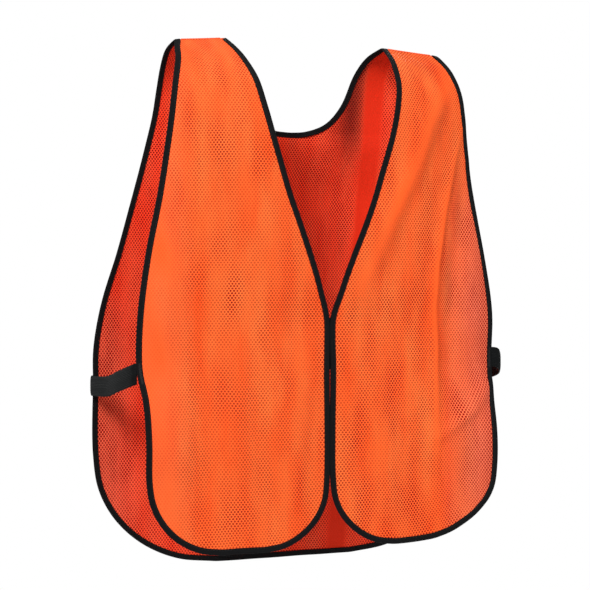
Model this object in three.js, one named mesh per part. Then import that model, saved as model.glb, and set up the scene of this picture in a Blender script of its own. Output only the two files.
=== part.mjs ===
// Mesh vest worn over the shoulders: two front panels and a back panel of knitted mesh, bound all
// round with folded tape, joined at the shoulders by seams and at the sides by elastic straps.
// Millimetres, +Z up. The vest faces -Y, so the wearer's right is -X. The origin is on the shoulder
// line, midway between the two points where the neck edge crosses it.
import * as THREE from "three";
import { mergeGeometries, mergeVertices } from "three/addons/utils/BufferGeometryUtils.js";

// ---- driving dimensions ----
const FRONT_LENGTH = 620; // shoulder line to front hem, straight down
const BACK_LENGTH = 666; // shoulder line to back hem, straight down
const FRONT_HALF_WIDTH = 228; // centre line to a front panel's side edge at the waist
const BACK_HALF_WIDTH = 256; // centre line to the back panel's side edge at the waist
const CHEST_DEPTH = 104; // shoulder line forward to the fullest part of the chest
const CENTRE_DEPTH = 91.5; // shoulder line forward to the edges that meet at the centre
const SIDE_DEPTH = 66; // shoulder line forward to a front panel's side edge
const LOWER_SIDE_DEPTH = 91; // and to that edge below the elastic
const LOWER_SIDE_INSET = 6; // below the elastic the side edge hangs this much nearer the centre
const FRONT_HEM_DEPTH = 96; // shoulder line forward to the front hem
const BACK_DEPTH = 105; // shoulder line back to the fullest part of the back
const NECKLINE_DEPTH = 66; // shoulder line back to the lowest point of the back neckline
const BACK_SIDE_DEPTH = 74; // shoulder line back to the back panel's side edge
const BACK_HEM_DEPTH = 88; // shoulder line back to the back hem
const NECK_HALF_WIDTH = 105; // centre line to the neck edge on the shoulder line
const SHOULDER_WIDTH = 67; // neck edge to armhole edge on the shoulder line
const SHOULDER_FALL = 9.5; // how far the armhole end of the shoulder line lies below its neck end
const SHOULDER_SWEEP = 19; // how far that end lies forward of its neck end
const BACK_NECK_DROP = 106; // shoulder line to the lowest point of the back neckline
const CLOSURE_TOP = 346; // shoulder line to the foot of the front V
const CLOSURE_LENGTH = 62; // hook tape and loop tape, along the front edge
const CLOSURE_WIDTH = 22; // width of each tape
const FRONT_GAP = 7.8; // between the two fronts' cut edges when they are fastened
const HINGE_DROP = 94; // shoulder line to where a front panel bends away from the shoulder
const FRONT_INNER_RADIUS = 77; // rounded hem corner beside the centre
const FRONT_OUTER_RADIUS = 87; // rounded hem corner at the side, where the elastic leaves room
const BACK_CORNER_WIDTH = 162; // rounded back corner, sideways
const BACK_CORNER_HEIGHT = 146; // and upwards, where the elastic leaves room
const FRONT_STRAP_DROP = 405; // shoulder line to where the elastics pull the fronts' side edges in
const BACK_STRAP_DROP = 428; // and to where they pull the back's
const ELASTIC_RISE = { // how far above those heights each elastic is sewn on: the front end, the back end
  right: [-2, -3],
  left: [7, 3],
};
const ELASTIC_WIDTH = 25;
const ELASTIC_THICKNESS = 1.6;
const ELASTIC_BOW = { right: 16, left: 30 }; // how far each bows out past the front's side edge
const FABRIC_THICKNESS = 1.0;
const TAPE_THICKNESS = 0.8; // binding tape, one layer
const BINDING_WIDTH = 8; // finished width of the folded binding
const CLOSURE_THICKNESS = 1.2; // hook tape and loop tape, each
const CLEARANCE = 0.3; // between pieces that touch
const LIMB_SLACK = 0.075; // between the fabric and each limb of the binding, as a share of its width
const HINGE_GAP = 1.0; // between a front panel and the part of it that stays on the shoulder
const SEAM_WIDTH = 3; // overlocked shoulder seam, front to back
const SEAM_HEIGHT = 2.4;
const TACK_WIDTH = 1.4; // bar tack at an elastic's end
const TACK_THICKNESS = 0.9;
const CLOSURE_EASE = 1.1; // from the binding back to the tapes, which bridge the fronts' curve
const STRAP_LEAD = { right: 8.5, left: 11 }; // how far each leaves its edges in line with the fabric
const STRAP_EASE = 0.9; // at its front end, where the edge curves towards it

// ---- materials ----
const finish = (color, roughness) => new THREE.MeshStandardMaterial({ color, roughness, metalness: 0 });
const ORANGE_MESH = finish(0xff5a1f, 0.75);
const BLACK_TAPE = finish(0x101214, 0.8);
const BLACK_ELASTIC = finish(0x16171a, 0.85);
const BLACK_HOOK = finish(0x0c0c0d, 0.9);
const ORANGE_THREAD = finish(0xf24a18, 0.7);
const BLACK_THREAD = finish(0x1a1a1c, 0.7);

const vest = new THREE.Group();
const SIDES = [{ name: "right", sign: -1 }, { name: "left", sign: 1 }];

function add(name, geometry, material) {
  const mesh = new THREE.Mesh(geometry, material);
  mesh.name = name;
  vest.add(mesh);
}

// ---- edge curves of the +X half, from the shoulder line to the hem ----
const point = (x, y, z) => new THREE.Vector3(x, y, z);
const curve = (points) => new THREE.CatmullRomCurve3(points, false, "centripetal");
const SHOULDER_HALF_WIDTH = NECK_HALF_WIDTH + SHOULDER_WIDTH;
const CORNER_POINTS = 5;

// A quarter of an ellipse from a vertical edge at (x, -top) round to the hem, towards -X or +X.
function corner(x, top, width, height, y, hemY) {
  const points = [];
  for (let i = 1; i <= CORNER_POINTS; i += 1) {
    const angle = (i / CORNER_POINTS) * (Math.PI / 2);
    const across = x + width * (1 - Math.cos(angle));
    const along = Math.sin(angle);
    points.push(point(across, THREE.MathUtils.lerp(y, hemY, along), -top - height * along));
  }
  return points;
}

// Neck edge and centre edge of a front panel. Each neck point is a share of the way from the V's
// foot out to the neck, of the chest's depth, and of the drop to the V's foot.
const CENTRE_X = FRONT_GAP / 2;
const NECK_SHARES = [
  [1, 0, 0], [0.945, 0.37, 0.06], [0.9, 0.6, 0.11], [0.835, 0.86, 0.19], [0.775, 0.95, 0.27],
  [0.7, 0.99, 0.356], [0.59, 1, 0.466], [0.48, 1, 0.572], [0.34, 0.995, 0.683],
  [0.2, 0.97, 0.793], [0.075, 0.93, 0.903],
];
const FRONT_NECK = NECK_SHARES.map(([out, depth, drop]) => point(
  THREE.MathUtils.lerp(CENTRE_X, NECK_HALF_WIDTH, out), -CHEST_DEPTH * depth, -CLOSURE_TOP * drop));
const innerTop = FRONT_LENGTH - FRONT_INNER_RADIUS;
const frontInner = curve([
  ...FRONT_NECK,
  point(CENTRE_X, -CENTRE_DEPTH, -CLOSURE_TOP),
  point(CENTRE_X, -CENTRE_DEPTH, -CLOSURE_TOP - CLOSURE_LENGTH),
  point(CENTRE_X, -CENTRE_DEPTH, -innerTop),
  ...corner(CENTRE_X, innerTop, FRONT_INNER_RADIUS, FRONT_INNER_RADIUS, -CENTRE_DEPTH, -FRONT_HEM_DEPTH),
]);

// Armhole edge and side edge of a front panel. Each armhole point is a share of the way from the
// shoulder out to the waist, of the side's depth, and of the drop from the shoulder to the V's foot.
const ARM_SHARES = [
  [0.07, 0.28, 0.03], [0.13, 0.72, 0.085], [0.235, 1, 0.168], [0.3, 1.045, 0.251],
  [0.36, 1.015, 0.337], [0.56, 0.985, 0.56], [0.82, 0.985, 0.785], [0.99, 1, 1],
];
const SHOULDER_END = point(SHOULDER_HALF_WIDTH, -SHOULDER_SWEEP, -SHOULDER_FALL);
const FRONT_ARM = ARM_SHARES.map(([out, depth, drop]) => point(
  THREE.MathUtils.lerp(SHOULDER_HALF_WIDTH, FRONT_HALF_WIDTH, out),
  THREE.MathUtils.lerp(-SHOULDER_SWEEP, -SIDE_DEPTH, depth),
  THREE.MathUtils.lerp(-SHOULDER_FALL, -CLOSURE_TOP, drop)));
// Below the elastic the side edge hangs free: shares of its inset, of the way to its depth there, and
// of the drop from the elastic to the rounded corner.
const SIDE_SHARES = [[0, -0.08, 0], [0.83, 0.5, 0.3], [1, 1, 0.68], [1, 1, 1]];
const outerRadius = Math.min(FRONT_OUTER_RADIUS, FRONT_LENGTH - FRONT_STRAP_DROP - ELASTIC_WIDTH);
const outerTop = FRONT_LENGTH - outerRadius;
const FRONT_SIDE = SIDE_SHARES.map(([inset, depth, drop]) => point(
  FRONT_HALF_WIDTH - LOWER_SIDE_INSET * inset,
  -THREE.MathUtils.lerp(SIDE_DEPTH, LOWER_SIDE_DEPTH, depth),
  -THREE.MathUtils.lerp(FRONT_STRAP_DROP, outerTop, drop)));
const lowerX = FRONT_HALF_WIDTH - LOWER_SIDE_INSET;
const frontOuter = curve([
  SHOULDER_END,
  ...FRONT_ARM,
  ...FRONT_SIDE,
  ...corner(lowerX, outerTop, -outerRadius, outerRadius, -LOWER_SIDE_DEPTH, -FRONT_HEM_DEPTH),
]);

// Back neckline, then the centre line of the back. Neckline points are shares of the neck's half
// width, of the depth at the neckline's lowest point, and of its drop.
const NECKLINE_SHARES = [
  [1, 0, 0], [0.905, 0.48, 0.085], [0.82, 0.76, 0.264], [0.68, 0.91, 0.64],
  [0.48, 0.97, 0.877], [0.22, 1, 0.98], [0, 1, 1],
];
const neckline = curve(NECKLINE_SHARES.map(([out, depth, drop]) => point(
  NECK_HALF_WIDTH * out, NECKLINE_DEPTH * depth, -BACK_NECK_DROP * drop)));
// Centre line points are shares of the drop from the neckline to the hem, and of the way from the
// neckline's depth (0) out to the back's (1).
const CENTRE_BACK_SHARES = [
  [0, 0], [0.03, 0.027], [0.07, 0.243], [0.15, 0.757], [0.28, 1], [0.5, 0.905], [0.75, 0.703],
];
const centreBack = curve([
  ...CENTRE_BACK_SHARES.map(([drop, depth]) => point(
    0,
    THREE.MathUtils.lerp(NECKLINE_DEPTH, BACK_DEPTH, depth),
    -THREE.MathUtils.lerp(BACK_NECK_DROP, BACK_LENGTH, drop))),
  point(0, BACK_HEM_DEPTH, -BACK_LENGTH),
]);

// Armhole edge and side edge of the back panel, as shares like those of the front.
const cornerRoom = BACK_LENGTH - BACK_STRAP_DROP - ELASTIC_WIDTH;
const cornerHeight = Math.min(BACK_CORNER_HEIGHT, cornerRoom);
const cornerWidth = BACK_CORNER_WIDTH * (cornerHeight / BACK_CORNER_HEIGHT);
const cornerTop = BACK_LENGTH - cornerHeight;
const BACK_ARM_SHARES = [
  [0.08, 0.22, 0.02], [0.1, 0.46, 0.06], [0.115, 0.66, 0.125], [0.15, 0.78, 0.2], [0.25, 0.88, 0.3],
  [0.43, 0.95, 0.45], [0.64, 0.975, 0.61], [0.87, 1, 0.76], [0.992, 1, 0.9],
];
const backOuter = curve([
  SHOULDER_END,
  ...BACK_ARM_SHARES.map(([out, depth, drop]) => point(
    THREE.MathUtils.lerp(SHOULDER_HALF_WIDTH, BACK_HALF_WIDTH, out),
    THREE.MathUtils.lerp(-SHOULDER_SWEEP, BACK_SIDE_DEPTH, depth),
    THREE.MathUtils.lerp(-SHOULDER_FALL, -BACK_STRAP_DROP, drop))),
  point(BACK_HALF_WIDTH, BACK_SIDE_DEPTH, -BACK_STRAP_DROP),
  point(BACK_HALF_WIDTH, BACK_SIDE_DEPTH, -cornerTop),
  ...corner(BACK_HALF_WIDTH, cornerTop, -cornerWidth, cornerHeight, BACK_SIDE_DEPTH, BACK_HEM_DEPTH),
]);

// ---- fabric sheets: grids lofted between two edge curves ----
const SEAM_SETBACK = (SEAM_WIDTH + FABRIC_THICKNESS) / 2 + 2 * CLEARANCE; // shoulder line to cut edge

// Length share of a curve at which it has dropped to the height z.
const HALVINGS = 40;
function shareAtHeight(edge, z) {
  let low = 0;
  let high = 1;
  for (let i = 0; i < HALVINGS; i += 1) {
    const middle = (low + high) / 2;
    if (edge.getPointAt(middle).z > z) low = middle;
    else high = middle;
  }
  return low;
}

const atDrop = (edge, drop) => edge.getPointAt(shareAtHeight(edge, -drop));

// Points along part of a curve, evenly spaced.
function stretch(edge, from, to, count) {
  const points = [];
  for (let i = 0; i <= count; i += 1) {
    points.push(edge.getPointAt(THREE.MathUtils.lerp(from, to, i / count)));
  }
  return points;
}

// The point of an edge level with each point of another. Where the edge starts lower, at the
// shoulder, the heights are spread so that both meet at the height of the last point.
function levelWith(points, edge) {
  const [first, last] = [points[0].z, points[points.length - 1].z];
  const top = Math.min(first, edge.getPointAt(SEAM_SETBACK / edge.getLength()).z);
  return points.map((p, k) => {
    if (k === points.length - 1 && last <= edge.getPointAt(1).z) return edge.getPointAt(1);
    return atDrop(edge, -THREE.MathUtils.mapLinear(p.z, first, last, top, last));
  });
}

// Points between two edge points. Across the body the fabric is a parabola about the centre plane,
// so that it is rounded and has no ridge down the middle of the back. Points run towards +X.
function across(a, b, columns, sign) {
  const row = [];
  const edge = BINDING_WIDTH / a.distanceTo(b); // one narrow column under the binding at each edge
  for (let c = 0; c <= columns; c += 1) {
    const inside = THREE.MathUtils.mapLinear(c, 1, columns - 1, edge, 1 - edge);
    const share = c % columns === 0 ? c / columns : inside;
    const p = a.clone().lerp(b, share);
    p.y = THREE.MathUtils.lerp(a.y, b.y, (p.x * p.x - a.x * a.x) / (b.x * b.x - a.x * a.x));
    p.x *= sign;
    row.push(p);
  }
  return sign > 0 ? row : row.reverse();
}

// Grids of one piece of fabric, each between two rows of edge points, with the normal at each point.
const WELD = 0.01; // points closer than this are one
const PLACE = 0.1; // and a point's normal is looked up by its place, to this
function loft(edges, columns) {
  const grids = edges.map(
    ({ inner, outer, sign }) => inner.map((p, r) => across(p, outer[r], columns, sign)));
  const planes = mergeGeometries(grids.map((grid) => bent(grid.flat(), columns, grid.length - 1)));
  const joined = mergeVertices(planes, WELD);
  joined.computeVertexNormals();
  const normals = new Map();
  const key = (p) => [p.x, p.y, p.z].map((v) => Math.round(v / PLACE) + 0).join();
  for (let i = 0; i < joined.attributes.position.count; i += 1) {
    const p = point(0, 0, 0).fromBufferAttribute(joined.attributes.position, i);
    const n = point(0, 0, 0).fromBufferAttribute(joined.attributes.normal, i);
    const fromInside = point(0, p.y, p.z + BACK_NECK_DROP);
    normals.set(key(p), n.dot(fromInside) < 0 ? n.negate() : n);
  }
  const rounded = (p) => point(Math.fround(p.x), Math.fround(p.y), Math.fround(p.z));
  return grids.map((grid) => grid.map((row) => row.map((p) => ({ p, n: normals.get(key(rounded(p))) }))));
}

// A plane geometry bent so that its vertices lie at the points.
function bent(points, columns, rows) {
  const plane = new THREE.PlaneGeometry(1, 1, columns, rows);
  points.forEach((p, i) => plane.attributes.position.setXYZ(i, p.x, p.y, p.z));
  return bare(plane);
}

// One face of a grid, offset along the normals.
function skin(grid, offset) {
  const points = grid.flat().map(({ p, n }) => p.clone().addScaledVector(n, offset));
  return bent(points, grid[0].length - 1, grid.length - 1);
}

function bare(geometry) {
  geometry.deleteAttribute("normal");
  geometry.deleteAttribute("uv");
  return geometry;
}

// Closed body from the grids of one piece of fabric: two skins, and walls along their free edges.
function fabric(grids) {
  const outer = mergeGeometries(grids.map((grid) => skin(grid, FABRIC_THICKNESS / 2)));
  const inner = mergeGeometries(grids.map((grid) => skin(grid, -FABRIC_THICKNESS / 2)));
  const count = outer.attributes.position.count;
  const faces = outer.index.array;
  const index = [...faces];
  for (let f = 0; f < faces.length; f += 3) {
    index.push(faces[f] + count, faces[f + 2] + count, faces[f + 1] + count);
  }
  for (const [a, b] of freeEdges(outer)) {
    index.push(b, a, a + count, b, a + count, b + count);
  }
  const positions = [...outer.attributes.position.array, ...inner.attributes.position.array];
  const body = new THREE.BufferGeometry();
  body.setAttribute("position", new THREE.Float32BufferAttribute(positions, 3));
  body.setIndex(index);
  return facingOut(body);
}

// Edges that only one triangle uses, where two grids that meet count as joined.
function freeEdges(geometry) {
  const at = geometry.attributes.position;
  const place = (i) => [at.getX(i), at.getY(i), at.getZ(i)].map((v) => v.toFixed(2)).join();
  const faces = geometry.index.array;
  const free = new Map();
  for (let f = 0; f < faces.length; f += 3) {
    for (let e = 0; e < 3; e += 1) {
      const edge = [faces[f + e], faces[f + ((e + 1) % 3)]];
      const name = edge.map(place).sort().join("|");
      if (free.has(name)) free.delete(name);
      else free.set(name, edge);
    }
  }
  return free.values();
}

// Turns a closed body the right way round if its faces point inwards.
function facingOut(geometry) {
  const solid = geometry.index ? geometry.toNonIndexed() : bare(geometry);
  const p = solid.attributes.position;
  const [a, b, c] = [point(0, 0, 0), point(0, 0, 0), point(0, 0, 0)];
  let volume = 0;
  for (let i = 0; i < p.count; i += 3) {
    b.fromBufferAttribute(p, i + 1);
    c.fromBufferAttribute(p, i + 2);
    volume += a.fromBufferAttribute(p, i).dot(b.cross(c));
  }
  if (volume < 0) {
    for (let i = 0; i < p.count; i += 3) {
      b.fromBufferAttribute(p, i + 1);
      c.fromBufferAttribute(p, i + 2);
      p.setXYZ(i + 1, c.x, c.y, c.z);
      p.setXYZ(i + 2, b.x, b.y, b.z);
    }
  }
  return solid;
}

// ---- cut the fabric ----
const ROWS = 30;
const SHOULDER_ROWS = 10;
const NECKLINE_ROWS = 12;
const COLUMNS = 8;

// An edge of a grid, each point with the direction of its row into the fabric.
const withRow = (point0, point1) => ({ ...point0, row: point1.p.clone().sub(point0.p).normalize() });
const lowEdge = (grid) => grid.map((row) => withRow(row[0], row[1]));
const highEdge = (grid) => grid.map((row) => withRow(row[COLUMNS], row[COLUMNS - 1]));
const innerEdge = (grid, sign) => (sign > 0 ? lowEdge(grid) : highEdge(grid));
const outerEdge = (grid, sign) => (sign > 0 ? highEdge(grid) : lowEdge(grid));

const shareOf = (length, edge) => length / edge.getLength();
const split = (edge) => shareAtHeight(edge, -HINGE_DROP);

// The part of a front panel that stays on the shoulder.
function shoulderEdges(sign) {
  const inner = stretch(frontInner, shareOf(SEAM_SETBACK, frontInner), split(frontInner), SHOULDER_ROWS);
  return { inner, outer: levelWith(inner, frontOuter), sign };
}

// The part that opens, below it.
function frontEdges(sign) {
  const outer = stretch(frontOuter, split(frontOuter) + shareOf(HINGE_GAP, frontOuter), 1, ROWS);
  return { inner: levelWith(outer, frontInner), outer, sign };
}

// The back's inner edge is the neckline and then the centre line, where its two halves meet.
function backEdges(sign) {
  const neck = stretch(neckline, shareOf(SEAM_SETBACK, neckline), 1, NECKLINE_ROWS);
  const underBinding = shareAtHeight(backOuter, -BACK_NECK_DROP - BINDING_WIDTH);
  const below = stretch(backOuter, underBinding, 1, ROWS);
  return {
    inner: [...neck, ...levelWith(below, centreBack)],
    outer: [...levelWith(neck, backOuter), ...below],
    sign,
  };
}

const shoulders = {};
const fronts = {};
for (const { name, sign } of SIDES) {
  [shoulders[name]] = loft([shoulderEdges(sign)], COLUMNS);
  [fronts[name]] = loft([frontEdges(sign)], COLUMNS);
  add(`shoulder_panel_${name}`, fabric([shoulders[name]]), ORANGE_MESH);
  add(`front_panel_${name}`, fabric([fronts[name]]), ORANGE_MESH);
}
const backs = {};
[backs.right, backs.left] = loft([backEdges(-1), backEdges(1)], COLUMNS);
add("back_panel", fabric([backs.right, backs.left]), ORANGE_MESH);

// ---- folded binding, swept along a run of edge points ----
const FOLD = TAPE_THICKNESS + CLEARANCE; // the tape's outside, beyond the cut edge
// The limbs clear the flats of the grid's cells, which grow with the neckline and with their reach.
const CELL_LENGTH = 16; // of a neckline cell that needs the slack as it is
const limbEase = BINDING_WIDTH * LIMB_SLACK * (neckline.getLength() / (NECKLINE_ROWS * CELL_LENGTH));
const LIMB_IN = FABRIC_THICKNESS / 2 + limbEase;
const LIMB_OUT = LIMB_IN + TAPE_THICKNESS;
const LIMB_END = BINDING_WIDTH - FOLD;

// Direction into the fabric and fabric normal at each point of a run. The side is 1 where the fabric
// lies on the left of someone who walks the run with the normal as their head. Where the fabric's
// rows meet the edge steeply the section lies along the row, so that both bend at the same place.
const ROW_FROM = 0.7; // cosines of the angle between the row and the section's own direction,
const ROW_WHOLLY = 0.9; // between which the section turns to the row
function frames(run, side) {
  return run.map(({ p, n, row }, k) => {
    const before = run[Math.max(k - 1, 0)].p;
    const after = run[Math.min(k + 1, run.length - 1)].p;
    const tangent = after.clone().sub(before).normalize();
    const inward = n.clone().cross(tangent).multiplyScalar(side).normalize();
    if (row) {
      inward.lerp(row, THREE.MathUtils.smoothstep(inward.dot(row), ROW_FROM, ROW_WHOLLY)).normalize();
    }
    const normal = n.clone().addScaledVector(tangent, -n.dot(tangent)).normalize();
    return { p, inward, normal };
  });
}

// Sweeps a flat section, x into the fabric and y along its normal, through the frames.
function sweep(section, run) {
  const steps = run.length - 1;
  const geometry = new THREE.ExtrudeGeometry(section, { depth: 1, steps, bevelEnabled: false });
  const at = geometry.attributes.position;
  for (let i = 0; i < at.count; i += 1) {
    const { p, inward, normal } = run[Math.round(at.getZ(i) * steps)];
    const q = p.clone().addScaledVector(inward, at.getX(i)).addScaledVector(normal, at.getY(i));
    at.setXYZ(i, q.x, q.y, q.z);
  }
  return facingOut(geometry);
}

const outline = (pairs) => new THREE.Shape(pairs.map(([x, y]) => new THREE.Vector2(x, y)));
const BINDING_SECTION = outline([
  [-FOLD, -LIMB_OUT], [LIMB_END, -LIMB_OUT], [LIMB_END, -LIMB_IN], [-CLEARANCE, -LIMB_IN],
  [-CLEARANCE, LIMB_IN], [LIMB_END, LIMB_IN], [LIMB_END, LIMB_OUT], [-FOLD, LIMB_OUT],
]);

const reversed = (list) => [...list].reverse();
const hemOf = (grid) => grid[grid.length - 1];

// Neck edge: up one shoulder's front, round the back of the neck and down the other's front.
const neckRun = (name, sign) => [
  ...reversed(innerEdge(shoulders[name], sign)),
  ...innerEdge(backs[name], sign).slice(0, NECKLINE_ROWS + 1),
];
const rightNeck = neckRun("right", -1);
const leftNeck = reversed(neckRun("left", 1));
add("neck_binding", sweep(BINDING_SECTION, frames([...rightNeck, ...leftNeck.slice(1)], 1)), BLACK_TAPE);

// Outer edge: over one shoulder, down the armhole and side, along the hem and up the other side.
const outerRun = (name, sign) => [
  ...reversed(outerEdge(shoulders[name], sign)),
  ...outerEdge(backs[name], sign),
];
const backHem = [...hemOf(backs.right).slice(1), ...hemOf(backs.left).slice(1, -1)];
const outerPath = [...outerRun("right", -1), ...backHem, ...reversed(outerRun("left", 1))];
const outerFrames = frames(outerPath, -1);
add("outer_binding", sweep(BINDING_SECTION, outerFrames), BLACK_TAPE);

// Front edge: down the neck edge and the centre, round the hem and up the side and armhole.
const frontFrames = {};
for (const { name, sign } of SIDES) {
  const grid = fronts[name];
  const hem = sign > 0 ? hemOf(grid) : reversed(hemOf(grid));
  const run = [...innerEdge(grid, sign), ...hem.slice(1, -1), ...reversed(outerEdge(grid, sign))];
  frontFrames[name] = frames(run, sign);
  add(`front_binding_${name}`, sweep(BINDING_SECTION, frontFrames[name]), BLACK_TAPE);
}

// ---- shoulder seams: overlocked thread between the two cut edges, between the bindings ----
const rectangle = (left, right, bottom, top) => outline(
  [[left, bottom], [right, bottom], [right, top], [left, top]]);
const SEAM_SECTION = rectangle(-SEAM_WIDTH / 2, SEAM_WIDTH / 2, -SEAM_HEIGHT / 2, SEAM_HEIGHT / 2);
for (const { name, sign } of SIDES) {
  const [from, to] = [frontInner.getPointAt(0), frontOuter.getPointAt(0)];
  const line = across(from, to, COLUMNS, sign).slice(1, -1);
  const run = line.map((p, k) => {
    const tangent = line[Math.min(k + 1, line.length - 1)].clone().sub(line[Math.max(k - 1, 0)]);
    return { p, inward: point(-tangent.y, tangent.x, 0).normalize(), normal: point(0, 0, 1) };
  });
  add(`shoulder_seam_${name}`, sweep(SEAM_SECTION, run), ORANGE_THREAD);
}

// ---- elastic straps, from the back binding's edge to the front binding's edge ----
const STRAP_STEPS = 18;
const STRAP_SECTION = rectangle(
  -ELASTIC_WIDTH / 2, ELASTIC_WIDTH / 2, -ELASTIC_THICKNESS / 2, ELASTIC_THICKNESS / 2);
// Two points along it: shares of the bow, of the way back, and of the drop between its two ends.
const STRAP_SHARES = [[1, 0.26, 0.43], [1.3, 0.6, 0.83]];
const nearest = (list, p) => list.reduce((best, f) => (f.p.distanceTo(p) < best.p.distanceTo(p) ? f : best));
const sewnDrops = (name) => [
  FRONT_STRAP_DROP - ELASTIC_RISE[name][0], BACK_STRAP_DROP - ELASTIC_RISE[name][1]];
const frontEnd = (name) => atDrop(frontOuter, sewnDrops(name)[0]);
const backEnd = (name) => atDrop(backOuter, sewnDrops(name)[1]);
const outwards = (list, p, reach) => {
  const { inward } = nearest(list, p);
  return p.clone().addScaledVector(point(inward.x, inward.y, 0).normalize(), -reach);
};
const strapPath = (name) => curve([
  outwards(frontFrames.left, frontEnd(name), FOLD + STRAP_EASE),
  outwards(frontFrames.left, frontEnd(name), FOLD + STRAP_LEAD[name]),
  ...STRAP_SHARES.map(([bow, back, drop]) => point(
    FRONT_HALF_WIDTH + ELASTIC_BOW[name] * bow,
    THREE.MathUtils.lerp(-SIDE_DEPTH, BACK_SIDE_DEPTH, back),
    -THREE.MathUtils.lerp(...sewnDrops(name), drop))),
  outwards(outerFrames, backEnd(name), FOLD + STRAP_LEAD[name]),
  outwards(outerFrames, backEnd(name), FOLD + CLEARANCE),
]);
for (const { name, sign } of SIDES) {
  const line = stretch(strapPath(name), 0, 1, STRAP_STEPS);
  const run = line.map((p, k) => {
    const tangent = line[Math.min(k + 1, STRAP_STEPS)].clone().sub(line[Math.max(k - 1, 0)]);
    const normal = point(tangent.y * sign, -tangent.x, 0).normalize();
    return { p: point(p.x * sign, p.y, p.z), inward: point(0, 0, 1), normal };
  });
  add(`side_strap_${name}`, sweep(STRAP_SECTION, run), BLACK_ELASTIC);
}

// ---- bar tacks on the binding where each elastic is caught in it ----
const tackOff = LIMB_OUT + CLEARANCE;
const tackIn = (LIMB_END - TACK_WIDTH) / 2;
const TACK_SECTION = rectangle(tackIn, tackIn + TACK_WIDTH, tackOff, tackOff + TACK_THICKNESS);
function tack(list, end, sign) {
  const first = list.indexOf(nearest(list, point(end.x * sign, end.y, end.z)));
  return sweep(TACK_SECTION, list.slice(first, first + 2));
}
for (const { name, sign } of SIDES) {
  add(`front_tack_${name}`, tack(frontFrames[name], frontEnd(name), sign), BLACK_THREAD);
  add(`back_tack_${name}`, tack(outerFrames, backEnd(name), sign), BLACK_THREAD);
}

// ---- front closure: the hook tape is sewn under the right front's edge and reaches across the gap
// behind the left front, where the loop tape is sewn ----
const closureMiddle = -CLOSURE_TOP - CLOSURE_LENGTH / 2;
const sewnDepth = -CENTRE_DEPTH + LIMB_OUT + CLOSURE_EASE + CLOSURE_THICKNESS / 2;
const loopTape = new THREE.BoxGeometry(CLOSURE_WIDTH, CLOSURE_THICKNESS, CLOSURE_LENGTH);
loopTape.translate(CENTRE_X + CLOSURE_WIDTH / 2, sewnDepth, closureMiddle);
add("loop_tape", facingOut(loopTape.toNonIndexed()), BLACK_HOOK);
const TAPE_SECTION = rectangle(
  -CLOSURE_LENGTH / 2, CLOSURE_LENGTH / 2, -CLOSURE_THICKNESS / 2, CLOSURE_THICKNESS / 2);
const hookEnd = CENTRE_X + CLOSURE_WIDTH;
const stepBack = CLOSURE_THICKNESS + CLEARANCE; // in the gap, to pass behind the loop tape
const hookRun = [
  [-hookEnd, 0], [-CENTRE_X, 0], [CENTRE_X - CLEARANCE, stepBack], [hookEnd, stepBack],
].map(([x, back]) => ({
  p: point(x, sewnDepth + back, closureMiddle),
  inward: point(0, 0, 1),
  normal: point(0, -1, 0),
}));
add("hook_tape", sweep(TAPE_SECTION, hookRun), BLACK_HOOK);

export default vest;
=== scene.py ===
import math

import bmesh
import bpy
import numpy as np
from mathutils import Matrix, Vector, noise


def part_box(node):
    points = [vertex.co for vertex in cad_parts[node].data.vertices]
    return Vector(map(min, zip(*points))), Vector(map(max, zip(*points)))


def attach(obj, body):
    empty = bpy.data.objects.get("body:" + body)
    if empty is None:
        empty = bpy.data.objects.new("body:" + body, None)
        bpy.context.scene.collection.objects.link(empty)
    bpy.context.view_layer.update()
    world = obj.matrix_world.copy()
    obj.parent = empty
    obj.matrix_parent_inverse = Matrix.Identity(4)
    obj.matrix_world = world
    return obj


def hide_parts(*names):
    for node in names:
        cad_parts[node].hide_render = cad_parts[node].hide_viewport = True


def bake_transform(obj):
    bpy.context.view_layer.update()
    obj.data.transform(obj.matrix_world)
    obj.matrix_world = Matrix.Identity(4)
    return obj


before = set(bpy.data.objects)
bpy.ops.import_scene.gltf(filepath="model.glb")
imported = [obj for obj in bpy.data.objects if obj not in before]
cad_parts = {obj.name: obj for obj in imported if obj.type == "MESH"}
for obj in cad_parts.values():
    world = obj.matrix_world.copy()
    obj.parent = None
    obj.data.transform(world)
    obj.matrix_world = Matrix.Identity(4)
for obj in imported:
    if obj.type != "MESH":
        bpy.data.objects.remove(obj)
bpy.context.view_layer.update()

# ---- camera, light and floor ----
# The vest is worn by nobody and hangs level with the camera, a little to the left of its front. A
# large soft light stands high on the left, a weaker one on the right, and the room is plain white.
chest = Vector((-0.0395, -0.0776, -0.3186))
camera = bpy.data.objects.new("camera", bpy.data.cameras.new("camera"))
camera.location = (-0.517, -1.513, -0.3186)
camera.rotation_euler = (chest - camera.location).to_track_quat("-Z", "Y").to_euler()
camera.data.angle = math.radians(26.3)
bpy.context.collection.objects.link(camera)
bpy.context.scene.camera = camera
bpy.context.scene.view_settings.view_transform = "Standard"


def soft_light(name, place, size, watts, tint=(1, 1, 1)):
    lamp = bpy.data.lights.new(name, "AREA")
    lamp.shape = "DISK"
    lamp.size, lamp.energy, lamp.color = size, watts, tint
    light = bpy.data.objects.new(name, lamp)
    light.location = place
    light.rotation_euler = (chest - light.location).to_track_quat("-Z", "Y").to_euler()
    bpy.context.collection.objects.link(light)


soft_light("key_light", (-1.5, -1.9, 1.3), 1.1, 84, (1, 0.98, 0.95))
soft_light("fill_light", (1.7, -1.8, 0.3), 1.6, 26)
soft_light("top_light", (0.2, 0.1, 1.8), 1.2, 10)
soft_light("back_light", (1.2, 2.2, 0.7), 1.6, 46)
soft_light("back_fill_light", (-1.9, 1.6, 0.2), 1.6, 22)


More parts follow.
